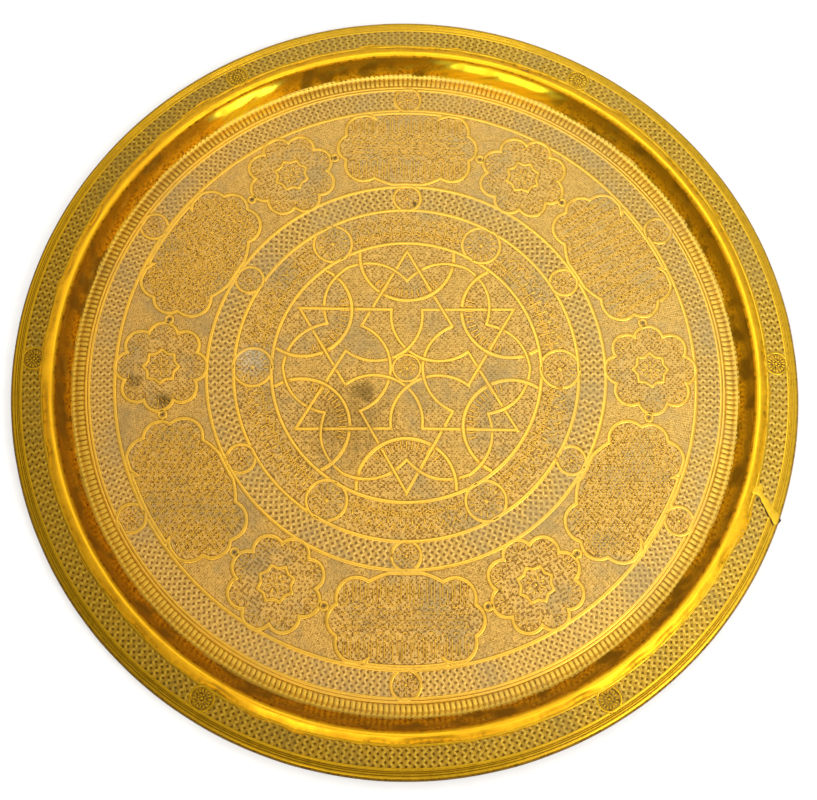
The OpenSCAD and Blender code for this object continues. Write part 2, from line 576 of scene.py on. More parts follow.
# Smooth but tarnished in blotches: a dark olive mirror. Its dark base is partly tarnish and partly painted
# shade for the dark surroundings it reflects. The bright yellow marked on the beaten shelves is a painted
# highlight, partly buffed metal, and painted light brightens one side.
WALL_BRASS = Brass("planished_wall_brass", bright="9E8020", dull="D8B024", deep="80590F", level=0,
                   low=0.5, middle=1.6, high=16.0, stipple=3.0, stipple_depth=0.02, patch=20.0,
                   patch_detail=1.5, grit=0.3, haze="785A12", haze_share=0.85, rough_high=0.14,
                   rough_low=0.2, ripple=0.3, ripple_size=9.0, side_shade=-0.4, tint_mark="FFD82C",
                   tint_mark_rough=0.24)
# Burnished by hand with a steel: broad soft reflections of a strong yellow. Its colour runs from bright on
# the crest to darker down the slopes, as painted light and shade and partly burnish wear. The dark marked
# colour on the lip is a painted shadow line.
RIDGE_BRASS = Brass("burnished_ridge_brass", bright="F8BC24", dull="DA9C16", deep="8E6210",
                    level=FLANGE, low=-3.5, middle=-0.3, high=1.2, stipple=4.0, stipple_depth=0.02,
                    haze="DBA022", haze_share=0.3, rough_high=0.31, rough_low=0.36, ripple=0.08,
                    ripple_size=14.0, side_shade=0.3, tint_mark=DIRT_AND_SHADOW)
# Rolled, then worn by hands: yellow with brown in the fine lines, and darker on one side with painted
# shade.
EDGE_BRASS = Brass("rolled_edge_brass", bright="E0B02C", dull="AE821E", deep="5E420E", level=FLANGE,
                   low=-3.0, middle=-0.35, high=0.05, stipple=2.5, stipple_depth=0.02, haze="C69C3A",
                   haze_share=0.25, rough_high=0.26, rough_low=0.35, side_shade=0.56)
# Left from the hammer and never polished: dull brown with scale in patches.
UNDERSIDE_BRASS = Brass("scraped_tarnished_underside_brass", bright="A67C34", dull="A67C34",
                        deep="5A3E18", level=0, low=-1.0, middle=0.05, high=20.0, stipple=2.4,
                        stipple_depth=0.05,
                        haze="7E6A48", haze_share=0.6, rough_high=0.4, rough_low=0.5, ripple=0.5,
                        ripple_size=13.0)
# Newer metal than the rest, filed down and bright, and darkened along one side short of the tab by the
# ridge.
BRAZE_BRASS = Brass("filed_braze_brass", bright="F6C133", dull="D79B1E", deep="3A260C", level=FLANGE,
                    low=-0.4, middle=-0.12, high=0.1, stipple=2.6, stipple_depth=0.03, haze="F2C040",
                    haze_share=0.2, rough_high=0.3, rough_low=0.4,
                    stains=((274.6, -113.5, 1.5, 0.85, DIRT_AND_SHADOW),), tint_mark=DIRT_AND_SHADOW)


# ---------------------------------------------------------------- straps that weave over and under

STRAP_RIM = ((-0.5, -1.0), (-0.5, 0.0), (-0.4, 0.68), (-0.2, 1.0), (0.2, 1.0), (0.4, 0.68), (0.5, 0.0),
             (0.5, -1.0))         # a strap's outline: share of its width across, share of its rise up
SUNK = 0.3                        # how deep a strap's foot goes into the ground, in millimetres
PUNCH = 2.1                       # millimetres between the rows of hard punch marks
PUNCH_DEPTH = 0.42                # mean depth of the punch marks, in millimetres
GROUND = -0.18                    # height of the ground that straps stand on, from the zone's surface


@dataclass
class Strap:
    """A raised strap along a path in plan."""

    path: Path
    width: float = 3.0
    rise: float = 0.45
    closed: bool = False
    lift: np.ndarray = field(default_factory=lambda: np.ones(0))

    def __post_init__(self) -> None:
        """Starts the strap at full height everywhere."""
        self.lift = np.ones(len(self.path))

    def segments(self) -> tuple[np.ndarray, np.ndarray]:
        """Gives the start and the end of every side of the path."""
        if self.closed:
            return self.path, np.roll(self.path, -1, axis=0)
        return self.path[:-1], self.path[1:]

    def travel(self) -> np.ndarray:
        """Gives the distance along the path to each point."""
        return np.r_[0, np.cumsum(np.linalg.norm(np.diff(self.path, axis=0), axis=1))]

    def length(self) -> float:
        """Gives the length of the whole path."""
        start, end = self.segments()
        return float(np.linalg.norm(end - start, axis=1).sum())

    def duck(self, along: float, reach: float) -> None:
        """Lowers the strap where it passes under another."""
        away = np.abs(self.travel() - along)
        if self.closed:
            away = np.minimum(away, self.length() - away)
        self.lift = np.minimum(self.lift, np.clip((away - reach) / 0.7, 0, 1))

    def mitres(self) -> np.ndarray:
        """Gives each point's sideways vector, lengthened where the path turns a corner."""
        if self.closed:
            before, after = np.roll(self.path, 1, axis=0), np.roll(self.path, -1, axis=0)
        else:
            before = np.vstack([self.path[:1], self.path[:-1]])
            after = np.vstack([self.path[1:], self.path[-1:]])
        first, second = self.path - before, after - self.path
        if not self.closed:
            first[0], second[-1] = second[0], first[-1]
        first /= np.linalg.norm(first, axis=1)[:, None]
        second /= np.linalg.norm(second, axis=1)[:, None]
        side = np.c_[-(first + second)[:, 1], (first + second)[:, 0]]
        side /= np.maximum(np.linalg.norm(side, axis=1), 1e-6)[:, None]
        cosine = np.abs((side * np.c_[-first[:, 1], first[:, 0]]).sum(axis=1))
        return side / np.clip(cosine, 0.45, 1)[:, None]

    def mesh(self, base: Rule) -> bpy.types.Object:
        """Sweeps the strap's outline along its path.

        Args:
            base: gives the ground's height in millimetres at each radius.

        Returns:
            The strap, still open along its welds.
        """
        count, around = len(self.path), len(STRAP_RIM)
        columns = count if self.closed else count - 1
        piece = flat_grid("strap", columns, around)
        side = self.mitres()
        rim = np.array(STRAP_RIM)

        def sweep(co: np.ndarray) -> np.ndarray:
            """Puts each grid point on the outline at its place along the path."""
            i = np.rint(co[:, 0] * columns).astype(int) % count
            j = np.rint(co[:, 1] * around).astype(int) % around
            plan = self.path[i] + side[i] * (rim[j, 0] * self.width)[:, None]
            stands = self.rise * (0.12 + 0.88 * self.lift[i])
            up = rim[j, 1] * np.where(rim[j, 1] > 0, stands, SUNK)
            return np.c_[plan, base(np.hypot(plan[:, 0], plan[:, 1])) + up] * MM

        return reshape(piece, sweep)


def hoop(centre: Sequence[float], radius: float, width: float, rise: float = 0.45,
         step: float = 1.3) -> Strap:
    """Draws a closed round strap."""
    return Strap(arc(centre, radius, 0, TURN, step)[:-1], width, rise, closed=True)


def floor_ground(radius: np.ndarray) -> np.ndarray:
    """Gives the height of the floor's sunk ground at each radius."""
    return SECTION.height(radius) + GROUND


def rim_ground(radius: np.ndarray) -> np.ndarray:
    """Gives the height of the rim's sunk ground at each radius."""
    return np.full_like(radius, FLANGE + GROUND)


def crossings(first: Strap, second: Strap) -> list[tuple[float, float]]:
    """Finds where two straps cross.

    Args:
        first: one strap.
        second: another strap.

    Returns:
        The distance along each of them, for every crossing.
    """
    a, b = first.segments()
    c, d = second.segments()
    run, cross_run = (b - a)[:, None], (d - c)[None]
    gap = c[None] - a[:, None]
    turn = run[..., 0] * cross_run[..., 1] - run[..., 1] * cross_run[..., 0]
    turn = np.where(np.abs(turn) < 1e-9, 1e-9, turn)
    t = (gap[..., 0] * cross_run[..., 1] - gap[..., 1] * cross_run[..., 0]) / turn
    u = (gap[..., 0] * run[..., 1] - gap[..., 1] * run[..., 0]) / turn
    hits = np.argwhere((t >= 0) & (t < 1) & (u >= 0) & (u < 1))
    first_at, second_at = first.travel(), second.travel()
    first_long, second_long = np.linalg.norm(b - a, axis=1), np.linalg.norm(d - c, axis=1)
    return [(first_at[i] + t[i, j] * first_long[i], second_at[j] + u[i, j] * second_long[j])
            for i, j in hits]


def interlace(straps: Sequence[Strap], gap: float = 0.35) -> None:
    """Makes every strap pass over and under the others by turns.

    Args:
        straps: the straps of one knot, which all stand on the same ground.
        gap: the clear width that is left beside the upper strap at a crossing, in millimetres.
    """
    meetings = []
    for i, first in enumerate(straps):
        for j in range(i + 1, len(straps)):
            meetings += [(i, s, j, t) for s, t in crossings(first, straps[j])]
    order: list[list[tuple[float, int]]] = [[] for _ in straps]
    for number, (i, s, j, t) in enumerate(meetings):
        order[i].append((s, number))
        order[j].append((t, number))
    rank = [{number: k for k, (_, number) in enumerate(sorted(row))} for row in order]
    start: dict[int, int] = {}
    for seed in range(len(straps)):
        if seed in start:
            continue
        start[seed] = 1
        waiting = [seed]
        while waiting:
            i = waiting.pop()
            for number, k in rank[i].items():
                a, _, b, _ = meetings[number]
                j = b if a == i else a
                if j not in start:
                    start[j] = -start[i] * (-1) ** (k + rank[j][number])
                    waiting.append(j)
    for number, (i, s, j, t) in enumerate(meetings):
        if start[i] * (-1) ** rank[i][number] > 0:
            straps[j].duck(t, straps[i].width / 2 + gap)
        else:
            straps[i].duck(s, straps[j].width / 2 + gap)


def strapwork(name: str, straps: Sequence[Strap],
              base: Rule = floor_ground) -> bpy.types.Object:
    """Sweeps straps and joins them into one piece."""
    piece = joined(name, [strap.mesh(base) for strap in straps])
    return smooth(tidy_mesh(piece, cap_sides=len(STRAP_RIM)), 50)


# ---------------------------------------------------------------- small motifs, modelled once

@dataclass
class Motif:
    """A small raised shape, modelled once about its own origin and stamped many times."""

    corners: np.ndarray
    faces: list[tuple[int, ...]]

    @classmethod
    def lifted_from(cls, piece: bpy.types.Object) -> "Motif":
        """Reads a modelled shape in millimetres and removes its object."""
        motif = cls(points(piece).copy(), [tuple(face.vertices) for face in piece.data.polygons])
        bpy.data.objects.remove(piece)
        return motif

    @classmethod
    def bead(cls, radius: float, rise: float, sides: int = 6) -> "Motif":
        """Models a round-topped bead with its skirt in the ground."""
        deselect()
        bpy.ops.mesh.primitive_uv_sphere_add(segments=sides, ring_count=4, radius=1)
        return cls.lifted_from(reshape(fresh("bead"), lambda co: np.c_[
            co[:, :2] * radius, np.where(co[:, 2] > -0.1, co[:, 2] * rise, -SUNK)]))

    @classmethod
    def petal(cls, length: float, width: float, rise: float) -> "Motif":
        """Models a pointed petal that starts at the origin and runs along x."""
        deselect()
        bpy.ops.mesh.primitive_uv_sphere_add(segments=8, ring_count=4, radius=1)
        piece = fresh("petal")

        def draw(co: np.ndarray) -> np.ndarray:
            """Pinches the ball into a petal."""
            swell = 0.75 + 0.35 * co[:, 0]
            high = np.where(co[:, 2] > -0.1, co[:, 2] * rise, -SUNK)
            return np.c_[(co[:, 0] + 1) * length / 2, co[:, 1] * width / 2 * swell, high]

        reshape(piece, draw)
        return cls.lifted_from(piece)

    @classmethod
    def ribbon(cls, path: Path, width: float, rise: float, closed: bool = False) -> "Motif":
        """Models a short raised ribbon along a path."""
        piece = Strap(path, width, rise, closed).mesh(np.zeros_like)
        tidy_mesh(piece, cap_sides=len(STRAP_RIM))
        reshape(piece, lambda co: co / MM)
        return cls.lifted_from(piece)

    @classmethod
    def bar(cls, half: float, width: float, rise: float) -> "Motif":
        """Models a short straight bar along x, centred on the origin."""
        return cls.ribbon(line((-half, 0), (half, 0), half), width, rise)

    def __add__(self, other: "Motif") -> "Motif":
        """Puts two motifs together."""
        shift = len(self.corners)
        faces = self.faces + [tuple(c + shift for c in face) for face in other.faces]
        return Motif(np.vstack([self.corners, other.corners]), faces)

    def turned(self, angle: float, x: float = 0, y: float = 0, size: float = 1) -> "Motif":
        """Gives a copy that is scaled, turned and moved in plan."""
        plan = placed(self.corners[:, :2], angle, (x, y), size)
        return Motif(np.c_[plan, self.corners[:, 2]], self.faces)

    def ring(self, count: int, radius: float = 0, turn: float = 0) -> "Motif":
        """Repeats the motif round the origin, each copy turned outwards."""
        total = Motif(np.zeros((0, 3)), [])
        for k in range(count):
            angle = turn + TURN * k / count
            total = total + self.turned(angle, *polar(radius, angle))
        return total


Place = tuple[Motif, float, float, float, float]      # motif, x, y, angle and size


def stamped(name: str, places: Sequence[Place],
            base: Rule = floor_ground) -> bpy.types.Object:
    """Stamps copies of motifs on the ground, as one piece.

    Args:
        name: the piece's name.
        places: each copy's motif and place, in millimetres and radians.
        base: gives the ground's height in millimetres at each radius.

    Returns:
        The piece.
    """
    corners, faces, shift = [], [], 0
    for motif, x, y, angle, size in places:
        copy = motif.turned(angle, x, y, size)
        corners.append(copy.corners)
        faces += [tuple(c + shift for c in face) for face in motif.faces]
        shift += len(copy.corners)
    co = np.vstack(corners)
    co[:, 2] += base(np.hypot(co[:, 0], co[:, 1]))
    mesh = bpy.data.meshes.new(name)
    mesh.from_pydata(co * MM, [], faces)
    piece = bpy.data.objects.new(name, mesh)
    bpy.context.scene.collection.objects.link(piece)
    return smooth(piece, 50)


def curl(size: float, turns: float = 1.15, points_count: int = 12) -> Path:
    """Draws a spiral that opens from its eye and leaves along x."""
    t = np.linspace(0, 1, points_count)
    radius = size * (0.18 + 0.82 * t)
    angle = TURN * turns * (1 - t)
    return np.c_[radius * np.cos(angle), radius * np.sin(angle)]


# ---------------------------------------------------------------- the punched ground

def all_hard(co: np.ndarray) -> np.ndarray:
    """Asks for the hardest punching everywhere."""
    return np.ones(len(co))


def skirted(piece: bpy.types.Object, depth: float) -> None:
    """Draws a sheet's open edges straight down, so that nothing shows beneath it."""
    with editing(piece, select=False):
        bpy.ops.mesh.select_non_manifold()
        bpy.ops.mesh.extrude_edges_move(TRANSFORM_OT_translate={"value": (0, 0, -depth)})


def matted(piece: bpy.types.Object, grid_size: float, surface: Rule, seed: int, depth: float,
           deep_spots: Optional[Rule] = None) -> bpy.types.Object:
    """Punches a pit in every cell of a flat grid, and gives the sheet a skirt.

    Args:
        piece: a grid in plan, in millimetres.
        grid_size: the size of a cell in millimetres.
        surface: gives the ground's height in millimetres at each radius.
        seed: the seed of the punch's wander.
        depth: the pits' mean depth in millimetres.
        deep_spots: gives how unequal the pits are at each plan point, from 0 for all alike to 1.

    Returns:
        The piece, in metres.
    """
    dice = np.random.default_rng(seed)
    with editing(piece):
        bpy.ops.mesh.remove_doubles(threshold=1e-4)
        bpy.ops.mesh.select_all(action="DESELECT")
        bpy.ops.mesh.select_non_manifold()
    held = np.array([vertex.select for vertex in piece.data.vertices])
    drift = dice.uniform(-0.28, 0.28, (len(held), 2)) * grid_size
    drift[held] = 0
    reshape(piece, lambda co: co + np.c_[drift, dice.uniform(-0.05, 0.03, len(held))])
    corner_count = len(held)
    with editing(piece):
        bpy.ops.mesh.poke()
    skirted(piece, SUNK)

    def settle(co: np.ndarray) -> np.ndarray:
        """Sinks the pits and lays the sheet on the floor."""
        pits = np.zeros(len(co), bool)
        pits[corner_count:] = co[corner_count:, 2] > -SUNK * 0.9
        unequal = deep_spots(co) if deep_spots else np.zeros(len(co))
        rows = np.sin(co[:, 0] * math.pi / PUNCH) * np.sin(co[:, 1] * math.pi / PUNCH)
        hard = rows > dice.uniform(-0.1, 0.5, len(co))
        share = dice.uniform(0.4, 0.8, len(co)) + unequal * np.where(hard, 1.0, -0.3)
        down = np.where(pits, depth * share, 0)
        level = surface(np.hypot(co[:, 0], co[:, 1]))
        return np.c_[co[:, :2], level + co[:, 2] - down] * MM

    return reshape(piece, settle)


def ring_grid(name: str, inner: float, outer: float, cell: float) -> bpy.types.Object:
    """Adds a ring of cells in plan, in millimetres."""
    around = round(math.pi * (inner + outer) / cell)
    across = max(2, round((outer - inner) / cell))

    def bend(co: np.ndarray) -> np.ndarray:
        """Wraps the unit grid round the axis."""
        return wrapped(inner + (outer - inner) * co[:, 1], TURN * co[:, 0], 0 * co[:, 2])

    return reshape(flat_grid(name, around, across), bend)


def keep_faces(piece: bpy.types.Object, keep: Rule) -> bpy.types.Object:
    """Deletes the faces of a plan mesh whose middles a test doesn't keep."""
    co = points(piece)
    middles = np.array([co[list(face.vertices)].mean(axis=0) for face in piece.data.polygons])
    with editing(piece, select=False):
        bpy.ops.mesh.select_mode(type="FACE")
    piece.data.polygons.foreach_set("select", ~keep(middles))
    bpy.ops.object.mode_set(mode="EDIT")
    bpy.ops.mesh.delete(type="FACE")
    bpy.ops.mesh.select_mode(type="VERT")
    bpy.ops.object.mode_set(mode="OBJECT")
    return piece


def outside_rounds(rounds: Sequence[tuple[float, float, float]]) -> Rule:
    """Gives a test that keeps what lies outside every x, y, radius round."""
    return lambda spots: np.all([np.hypot(spots[:, 0] - x, spots[:, 1] - y) > r
                                 for x, y, r in rounds], axis=0)


# ---------------------------------------------------------------- the zones of the floor

@dataclass
class StarPanel:
    """The six-pointed knot in the middle of the floor."""

    edge: float = 105.9          # radius of the circle round the panel
    tip: float = 98.7            # radius of the star's tips
    elbow: float = 50.1          # radius where the straight straps turn into the inner loops
    elbow_angle: float = math.radians(44)
    loop: float = 37.5           # radius of the inner loops
    cup: float = 38.0            # radius of the cups at the tips
    cup_at: float = 94.4
    arch_low: float = 73.0       # radius of the arches' inward cusps
    arch_high: float = 97.0      # radius of their outward points
    hub: float = 10.8
    cell: float = 1.55

    def star_loops(self) -> list[Strap]:
        """Draws the three closed straps that make the star."""
        straps = []
        first = math.pi - math.atan2(self.elbow * math.sin(self.elbow_angle),
                                     self.elbow * (1 - math.cos(self.elbow_angle)))
        for k in range(3):
            parts = []
            for side in (0, 1):
                axis = k * SIXTH + side * math.pi
                bow = placed(arc((self.elbow, 0), self.loop, -first, first - TURN), axis)
                tip = polar(self.tip, axis + math.radians(90))
                elbow = polar(self.elbow, axis + math.pi - self.elbow_angle)
                parts += [bow, line(bow[-1], tip), line(tip, elbow)]
            straps.append(Strap(chained(*parts)[:-1], 3.1, closed=True))
        return straps

    def cups(self) -> list[Strap]:
        """Draws the six cups that hold the star's tips."""
        reach = math.radians(86)
        cup = arc((self.cup_at, 0), self.cup, reach, TURN - reach)
        return [Strap(placed(cup, SIXTH * (k + 0.5)), 3.6) for k in range(6)]

    def arches(self) -> Strap:
        """Draws the closed strap of pointed arches."""
        half = SIXTH / 2
        high, low = polar(self.arch_high, half), polar(self.arch_low, 0)
        middle = (high + low) / 2
        across = np.array([-(high - low)[1], (high - low)[0]])
        t = np.linspace(0, 1, 24)[:, None]
        leg = (1 - t) ** 2 * low + 2 * t * (1 - t) * (middle - 0.36 * across) + t**2 * high
        back = leg[::-1] * (1, -1)
        unit = chained(back, leg)[:-1]
        return Strap(np.vstack([placed(unit, SIXTH * (k + 0.5)) for k in range(6)]), 3.0, closed=True)

    def build(self) -> None:
        """Makes the ground, the straps and the chasing between them."""
        side = 2 * self.edge
        cells = round(side / self.cell)
        ground = reshape(flat_grid("star_ground", cells, cells), lambda co: (co - (0.5, 0.5, 0)) * side)
        keep_faces(ground, lambda spots: np.hypot(spots[:, 0], spots[:, 1]) < self.edge + 0.2)

        def gilded(co: np.ndarray) -> np.ndarray:
            """Punches harder inside the cups and inside the ends of the star's loops."""
            share = np.full(len(co), 0.45)
            for k in range(6):
                x, y = polar(self.cup_at, SIXTH * (k + 0.5))
                share[np.hypot(co[:, 0] - x, co[:, 1] - y) < self.cup] = 0.9
                x, y = polar(self.elbow, SIXTH * k)
                share[np.hypot(co[:, 0] - x, co[:, 1] - y) < self.loop * 0.55] = 0.7
            return share

        matted(ground, self.cell, floor_ground, 11, PUNCH_DEPTH, gilded)
        dress(ground, MATTED_GROUND)
        straps = self.star_loops() + self.cups() + [self.arches()]
        interlace(straps)
        dress(strapwork("star_straps", straps), STRAP_BRASS)
        dress(stamped("star_chasing", self.chasing()), STRAP_BRASS)

    def chasing(self) -> list[Place]:
        """Places the hub's wheel, the combs in the cups and the beads in the kites."""
        bar = Motif.bar(3.1, 1.5, 0.65)
        bead = Motif.bead(0.75, 0.3)
        petal = Motif.petal(5.6, 2.0, 0.45)
        hub = Motif.ribbon(arc((0, 0), self.hub, 0, TURN * 59 / 60, 1.4), 2.4, 0.5, closed=True)
        wheel = petal.ring(12, 2.6) + hub + Motif.bead(1.7, 0.5, 10)
        places = [(wheel, 0, 0, 0, 1.0)]
        for k in range(6):
            axis = SIXTH * (k + 0.5)
            x, y = polar(self.cup_at, axis)
            for i in range(-6, 7):
                turn = axis + math.pi + i * 0.132
                px, py = polar(self.cup - 5.4, turn)
                places.append((bar, x + px, y + py, turn, 1.0))
                if i % 2:
                    px, py = polar(self.cup - 10.5, turn)
                    places.append((bead, x + px, y + py, 0, 1.1))
            for i in range(-3, 4):
                px, py = polar(self.tip - 16 - 3.2 * abs(i) % 7, axis + i * 0.055)
                places.append((bead, px, py, 0, 1.0))
            for ring, count in ((25.0, 3), (30.0, 4), (35.0, 5)):
                for i in range(count):
                    px, py = polar(ring, SIXTH * k + (i - (count - 1) / 2) * 0.16)
                    places.append((bead, px, py, 0, 1.0))
        return places


@dataclass
class Roundels:
    """Small linked circles that interrupt a band, one for each sixth of the tray."""

    name: str
    count_from: float            # angle of the first one
    at: float                    # radius of their centres from the tray's axis
    radius: float
    petals: int
    base: Rule = floor_ground
    width: float = 3.1

    def rounds(self, shrink: float = 0.0) -> list[tuple[float, float, float]]:
        """Gives x, y and radius of each."""
        return [(*polar(self.at, self.count_from + SIXTH * k), self.radius - shrink) for k in range(6)]

    def straps(self) -> list[Strap]:
        """Draws the circles."""
        return [hoop((x, y), r, self.width) for x, y, r in self.rounds()]

    def build(self, finish: Brass, ground: Brass) -> None:
        """Fills each circle with a punched disc and a petalled wheel."""
        discs = []
        for k, (x, y, radius) in enumerate(self.rounds(0.4)):
            disc = ring_grid("disc", 0.6, radius, 1.45)
            reshape(disc, lambda co: co + (x, y, 0))
            discs.append(matted(disc, 1.45, self.base, 40 + k, 0.38, all_hard))
        dress(joined(self.name + "_grounds", discs), ground)
        inner = self.radius - self.width / 2
        petal = Motif.petal(inner * 0.42, 1.9, 0.44)
        wheel = petal.ring(self.petals, inner * 0.5) + Motif.bead(inner * 0.15, 0.42, 8)
        wheel = wheel + Motif.bead(0.85, 0.38).ring(max(6, self.petals // 2), inner * 0.32)
        places = [(wheel, x, y, self.count_from + SIXTH * k, 1.0)
                  for k, (x, y, _) in enumerate(self.rounds())]
        dress(stamped(self.name + "_wheels", places, self.base), finish)


@dataclass
class Borders:
    """The plain circles that divide the floor, linked with the roundels."""

    circles: tuple[float, ...] = (105.9, 135.2, 156.3, 227.3)
    outer_pair: tuple[float, float] = (246.9, 249.3)
    knots: Sequence[Roundels] = ()

    def build(self) -> None:
        """Makes the circles and the roundels' rings as one interlaced piece."""
        straps = [hoop((0, 0), radius, 3.5, step=1.5) for radius in self.circles]
        straps += [hoop((0, 0), self.outer_pair[0], 2.8, step=1.5)]
        for knot in self.knots:
            straps += knot.straps()
        interlace(straps)
        straps += [hoop((0, 0), self.outer_pair[1], 2.5, 0.42, 2.0)]
        dress(strapwork("border_straps", straps), STRAP_BRASS)


@dataclass
class WeaveBand:
    """A band of crossed strands with a dark diamond pit between each four."""

    name: str
    inner: float
    outer: float
    repeats: int                 # pits in each row round the tray
    rows: int
    surface: Rule
    holes: Sequence[Roundels] = ()
    pit: float = 0.42            # depth of the pits
    over: float = 0.19           # how far one strand stands over the other

    def diamond(self, width: float, height: float, hand: int) -> bpy.types.Object:
        """Models one pit with half of each strand round it.

        Args:
            width: from corner to corner along the band, in millimetres.
            height: from corner to corner across the band.
            hand: 1 where the strands to the right of the pit pass over, and -1 where they pass under.

        Returns:
            The open diamond.
        """
        deselect()
        bpy.ops.mesh.primitive_circle_add(vertices=8, radius=1, fill_type="NGON")
        cell = fresh("diamond")
        half = (width / 2, height / 2)

        def square_up(co: np.ndarray) -> np.ndarray:
            """Draws the ring of points into a diamond with a point in the middle of each side."""
            plan = co[:, :2] / np.abs(co[:, :2]).sum(axis=1)[:, None]
            return np.c_[plan * half, 0 * co[:, 2]]

        reshape(cell, square_up)
        with editing(cell):
            for step_in, depth in ((0.72, -0.03), (0.4, -0.12), (0.28, 0.15 - self.pit)):
                bpy.ops.mesh.inset(thickness=step_in, depth=depth)

        def weave(co: np.ndarray) -> np.ndarray:
            """Raises the strands on one side of the pit and lowers those on the other."""
            u, v = co[:, 0] / half[0], co[:, 1] / half[1]
            lean = hand * np.sign(u) * np.clip(np.minimum(np.abs(u), np.abs(v)) * 2.2, 0, 1)
            strand = np.clip((np.abs(u) + np.abs(v) - 0.45) / 0.3, 0, 1)
            return np.c_[co[:, :2], co[:, 2] + self.over * lean * strand]

        return reshape(cell, weave)

    def build(self, finish: Brass) -> None:
        """Tiles the diamonds, trims the band's edges and wraps it round the tray."""
        middle = (self.inner + self.outer) / 2
        width = TURN * middle / self.repeats
        height = 2 * (self.outer - self.inner) / self.rows
        column = []
        for row in range(self.rows + 1):
            cell = self.diamond(width, height, 1 - 2 * (row % 2))
            shift = (width / 2 * (row % 2), height / 2 * row, 0)
            column.append(reshape(cell, lambda co, shift=shift: co + shift))
        band = joined(self.name, column)
        for side in (0, 1):
            with editing(band):
                bpy.ops.mesh.bisect(plane_co=(0, side * (self.outer - self.inner), 0), plane_no=(0, 1, 0),
                                    clear_outer=bool(side), clear_inner=not side)
        array_along(band, width, self.repeats)

        def wrap(co: np.ndarray) -> np.ndarray:
            """Bends the flat band round the axis."""
            return wrapped(self.inner + co[:, 1], co[:, 0] / middle, co[:, 2])

        reshape(band, wrap)
        tidy_mesh(band, weld=1e-3)
        rounds = [spot for knot in self.holes for spot in knot.rounds(-0.2)]
        if rounds:
            keep_faces(band, outside_rounds(rounds))
        skirted(band, self.pit + 0.1)
        wander = Wobble(len(self.name), (3, 7, 11, 19, 31), 0.05)

        def lay(co: np.ndarray) -> np.ndarray:
            """Lays the band on the sheet, a little uneven in depth."""
            radius, angle = bearings(co)
            uneven = 1 + 2.5 * wander.at(angle, radius / 9)
            depth = np.maximum(co[:, 2] * uneven, -self.pit - SUNK)
            return np.c_[co[:, :2], self.surface(radius) + 0.12 + depth] * MM

        dress(smooth(reshape(band, lay), 30), finish)


@dataclass
class VineRing:
    """The ring of six panels round the star, filled with a running scroll."""

    inner: float = 105.9
    outer: float = 135.2
    cell: float = 1.6
    arch: float = 9.2            # width of one arch of the frieze
    arches: int = 10             # arches in each panel
    knots: Optional[Roundels] = None

    def unit(self) -> Motif:
        """Models one repeat of the frieze: a pointed arch with a leaf in it, over a curl."""
        half = self.arch / 2
        side = arc((-half * 0.45, 1.0), half * 1.45, 0, 1.02, 1.5)
        arch = Motif.ribbon(side, 1.15, 0.42) + Motif.ribbon(side * (-1, 1), 1.15, 0.42)
        stem = Motif.ribbon(line((0, -11.0), (0, -3.0), 2), 1.1, 0.4)
        leaf = Motif.petal(6.0, 2.4, 0.5).turned(TURN / 4, 0, -3.4)
        curve = Motif.ribbon(curl(2.3, 1.0, 9), 1.05, 0.4)
        bead = Motif.bead(0.8, 0.38)
        motif = arch + stem + leaf
        for x, y in ((0, 8.6), (half, 6.8), (half, 10.4)):
            motif = motif + bead.turned(0, x, y)
        for hand in (1, -1):
            motif = motif + curve.turned(TURN / 4 * (1 - hand), hand * 2.9, -5.4)
            motif = motif + bead.turned(0, hand * 2.2, -10.2)
        return motif

    def build(self) -> None:
        """Makes the punched ring and the scroll on it."""
        ground = keep_faces(ring_grid("vine_ground", self.inner, self.outer, self.cell),
                            outside_rounds(self.knots.rounds(-0.2)))
        dress(matted(ground, self.cell, floor_ground, 23, PUNCH_DEPTH, all_hard), MATTED_GROUND)
        unit = self.unit()
        middle = (self.inner + self.outer) / 2
        places = []
        for panel in range(6):
            for i in range(self.arches):
                angle = SIXTH * (panel + 0.5) + (i - (self.arches - 1) / 2) * self.arch / middle
                x, y = polar(middle - 0.5, angle)
                places.append((unit, x, y, angle - math.pi / 2, 1.0))
        dress(stamped("vine_scroll", places), STRAP_BRASS)


class Fill(Enum):
    """What fills a large cartouche."""

    COLUMNS = "columns of rings"
    FRET = "two rows of upright leaves"
    SCROLL = "scattered curls"
    TRELLIS = "trellis of crossed lines"
    ROSETTES = "rows of small rosettes"


